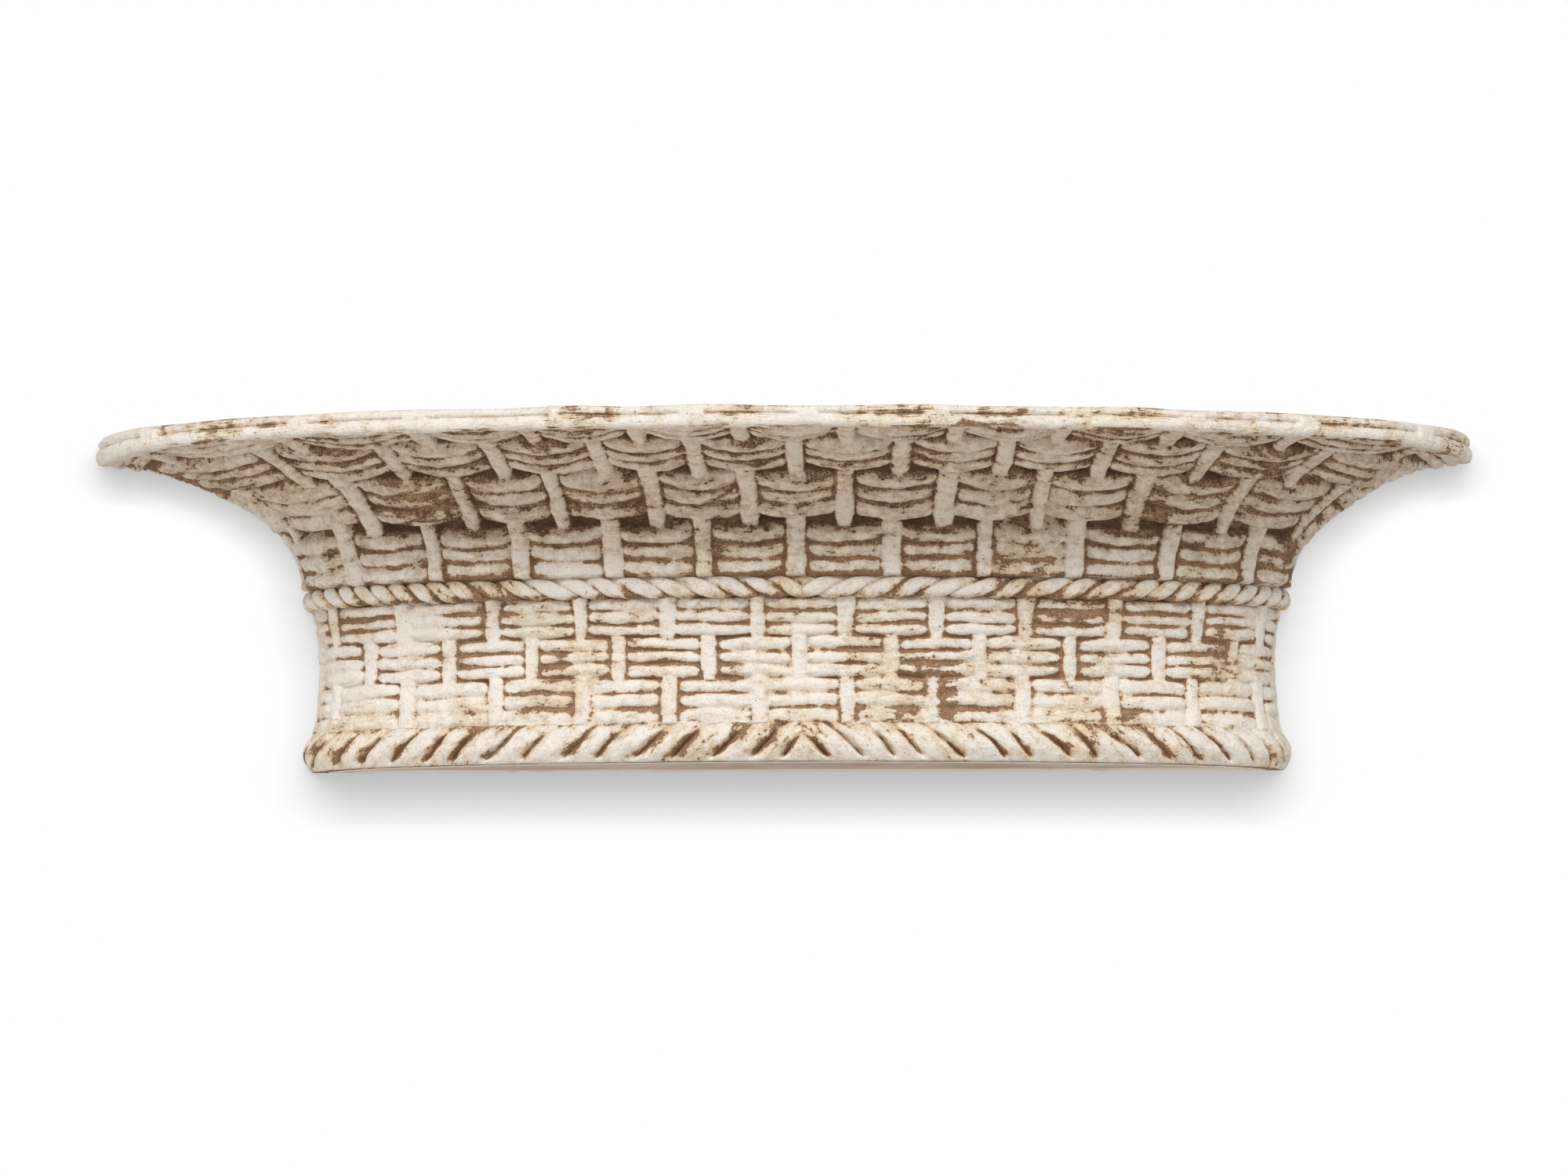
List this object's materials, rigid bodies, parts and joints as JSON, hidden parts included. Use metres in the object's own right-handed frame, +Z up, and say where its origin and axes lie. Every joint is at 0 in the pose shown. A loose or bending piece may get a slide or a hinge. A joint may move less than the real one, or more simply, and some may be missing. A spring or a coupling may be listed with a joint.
{
  "type": "wall pocket vase",
  "caption": "Shallow half-round wall pocket vase cast as a woven basket, with a wide flared rim, rope bands, a flat back for hanging and a lift-out metal liner.",
  "frame": {"origin": "on the wall plane at the flat back, midway between the two hangers, at the height where the wall's screws bear in the keyhole slots", "axes": "+X along the wall to the right as seen from the room, +Y out of the flat back into the wall, +Z up"},
  "size_m": [0.48, 0.1195, 0.116],
  "materials": {
    "painted_plaster": "cream-white limewash-like paint, matt, worn and chipped to a brown ground in the hollows of the weave",
    "galvanised_liner": "dull galvanised sheet",
    "bright_steel": "zinc plated, slightly dulled",
    "hardwood": "bare, sawn"
  },
  "bodies": {
    "pocket": {"woven_wall": "painted_plaster", "back_slab": "painted_plaster", "floor_slab": "painted_plaster", "bound_rim": "painted_plaster", "belt_rope_left": "painted_plaster", "base_rope_left": "painted_plaster", "belt_rope_right": "painted_plaster", "base_rope_right": "painted_plaster", "hanger_plate_left": "bright_steel", "hanger_block_left": "hardwood", "hanger_screw_left_inner": "bright_steel", "hanger_screw_left_outer": "bright_steel", "hanger_plate_right": "bright_steel", "hanger_block_right": "hardwood", "hanger_screw_right_inner": "bright_steel", "hanger_screw_right_outer": "bright_steel"},
    "liner": {"metal_liner": "galvanised_liner"}
  },
  "joints": [
    {"name": "liner_lift", "type": "slide", "parent": "pocket", "child": "liner", "axis": [0, 0, 1], "range_m": [0, 0.13]}
  ]
}
